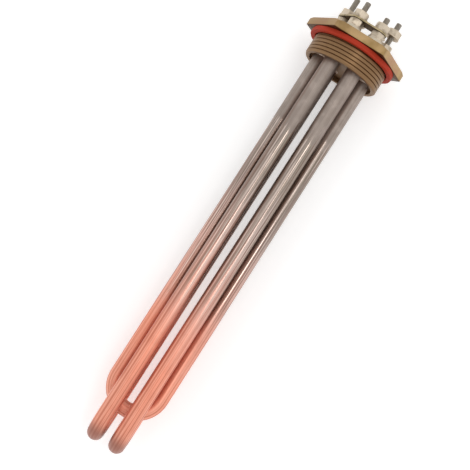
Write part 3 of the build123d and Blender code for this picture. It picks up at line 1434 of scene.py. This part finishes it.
@dataclass
class StarLink:
    """Star link strip over three studs: its solid's own shape with softened edges."""

    finish: Finish
    flat_angle: float = radians(1)
    edge_angle: float = radians(50)
    edge_radius: float = 0.2 * MM
    edge_steps: int = 3

    def build(self) -> None:
        """Copy the solid, merge its triangles, join the flat ones and soften the edges."""
        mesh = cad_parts["star_link"].data.copy()
        mesh.name = "link_strip"
        mesh.materials.clear()
        shape = bmesh.new()
        shape.from_mesh(mesh)
        bmesh.ops.remove_doubles(shape, verts=shape.verts, dist=MERGE)
        bmesh.ops.dissolve_limit(shape, angle_limit=self.flat_angle, verts=shape.verts,
                                 edges=shape.edges)
        shape.to_mesh(mesh)
        shape.free()
        mesh.shade_smooth()
        mesh.set_sharp_from_angle(angle=SHARP)
        piece = add_object("link_strip", mesh)
        bevel = piece.modifiers.new("soft_edges", "BEVEL")
        bevel.width = self.edge_radius
        bevel.segments = self.edge_steps
        bevel.limit_method = "ANGLE"
        bevel.angle_limit = self.edge_angle
        self.finish.dress(piece, "star_link")
        log.info("link_strip: %d faces", len(mesh.polygons))


@dataclass(frozen=True)
class Panel:
    """A soft light panel, aimed at the middle of the heater.

    Attributes:
        name: Name of the light.
        azimuth: Degrees from +X towards +Y.
        elevation: Degrees above the floor.
        distance: Metres from the middle.
        width: Length of the panel in metres, in line with X as nearly as it can be.
        height: Length of the panel across that.
        brightness: Radiance of its face, where 1 is white.
        tint: Colour of the light.
    """

    name: str = "overhead"
    azimuth: float = -63
    elevation: float = 75
    distance: float = 2.6
    width: float = 1.5
    height: float = 0.4
    brightness: float = 2.8
    tint: tuple[float, float, float] = (1.0, 0.985, 0.965)

    def build(self, middle: Vector) -> None:
        """Hang the light: its power is brightness times pi times its area.

        Args:
            middle: What it is aimed at.
        """
        lamp = bpy.data.lights.new(self.name, "AREA")
        lamp.shape = "RECTANGLE"
        lamp.size, lamp.size_y = self.width, self.height
        lamp.energy = self.brightness * pi * self.width * self.height
        lamp.color = self.tint
        azimuth, elevation = radians(self.azimuth), radians(self.elevation)
        back = Vector((cos(azimuth) * cos(elevation), sin(azimuth) * cos(elevation), sin(elevation)))
        side = Vector((1.0, 0.0, 0.0))
        side = (side - back * side.dot(back)).normalized()
        turn = Matrix((side, back.cross(side), back)).transposed()
        holder = add_object(self.name, lamp)
        holder.matrix_world = Matrix.Translation(middle + back * self.distance) @ turn.to_4x4()


@dataclass
class Studio:
    """Pale floor, soft light panel, even world light and the camera of the picture.

    Attributes:
        floor_lift: Glow of the floor, for the rays that look at it.
        world_brightness: World light on the heater.
        backdrop_brightness: World as it is seen.
        picture_up: Angle from +X towards +Y of the direction that is up in the picture.
        focal_pixels: Focal length in pixels of the picture.
    """

    floor_radius: float = 7.0
    floor_steps: int = 96
    floor_paint: Colour = (0.96, 0.96, 0.96, 1.0)
    floor_roughness: float = 0.9
    floor_lift: float = 0.34
    world_brightness: float = 0.8
    backdrop_brightness: float = 1.0
    camera_place: tuple = (-0.1841, -0.02607, 0.66128)
    camera_target: tuple = (-0.12497, 0.00069, 0.0)
    picture_up: float = radians(32.46)
    focal_pixels: float = 1150.0
    image_pixels: int = 470
    sensor: float = 36.0
    panel: Panel = Panel()

    def build_floor(self, level: float) -> None:
        """Round floor at the height where the heater touches it.

        Args:
            level: That height.
        """
        angle = full_turn(self.floor_steps)
        rim = np.stack([self.floor_radius * np.cos(angle), self.floor_radius * np.sin(angle),
                        np.full_like(angle, level)], axis=-1)
        mesh = bpy.data.meshes.new("floor")
        mesh.from_pydata(rim.tolist(), [], [list(range(len(rim)))])
        recipe = Recipe("floor_paint")
        lift = recipe.math("MULTIPLY", recipe.seen(), self.floor_lift)
        mesh.materials.append(recipe.surface({
            "Base Color": self.floor_paint, "Roughness": self.floor_roughness,
            "Specular IOR Level": 0.0, "Emission Color": self.floor_paint,
            "Emission Strength": lift}))
        add_object("floor", mesh)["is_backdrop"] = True

    def build_world(self) -> None:
        """Even white light from all round, which shows as plain white where it is seen."""
        world = bpy.data.worlds.new("studio")
        tree = Tree(world)
        band = Band(0, 1, self.world_brightness, self.backdrop_brightness)
        inputs = {"Color": WHITE, "Strength": tree.span(tree.seen(), band)}
        light = tree.node("ShaderNodeBackground", inputs).outputs["Background"]
        tree.node("ShaderNodeOutputWorld", {"Surface": light})
        bpy.context.scene.world = world

    def build_camera(self) -> None:
        """Camera of the picture: its place, what it looks at and how it is rolled."""
        lens = bpy.data.cameras.new("camera")
        lens.sensor_width = self.sensor
        lens.lens = self.focal_pixels / self.image_pixels * self.sensor
        place, target = Vector(self.camera_place), Vector(self.camera_target)
        back = (place - target).normalized()
        up = Vector((cos(self.picture_up), sin(self.picture_up), 0.0))
        up = (up - back * up.dot(back)).normalized()
        turn = Matrix((up.cross(back), up, back)).transposed()
        camera = add_object("camera", lens)
        camera.matrix_world = Matrix.Translation(place) @ turn.to_4x4()
        bpy.context.scene.camera = camera

    def build(self, low: Vector, high: Vector) -> None:
        """Set the stage round the heater.

        Args:
            low: Lowest corner of the heater's box.
            high: Its highest corner.
        """
        self.build_floor(float(low[2]))
        self.build_world()
        self.panel.build((low + high) / 2)
        self.build_camera()
        bpy.context.scene.view_settings.view_transform = "Standard"


def main() -> None:
    """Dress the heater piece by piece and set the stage."""
    logging.basicConfig(level=logging.INFO, format="%(name)s: %(message)s")
    low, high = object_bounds()
    palette = Palette()
    ScrewPlug(palette.plug).build()
    Gasket(palette.gasket).build()
    for name in HAIRPINS:
        Hairpin(name, palette.sheath).build()
        palette.filling.repaint("magnesia_" + name)
        palette.wire.repaint("heating_coil_" + name)
    for number in ENDS:
        Terminal(number, palette).build()
    StarLink(palette.link).build()
    Studio().build(low, high)


if __name__ == "__main__":
    main()
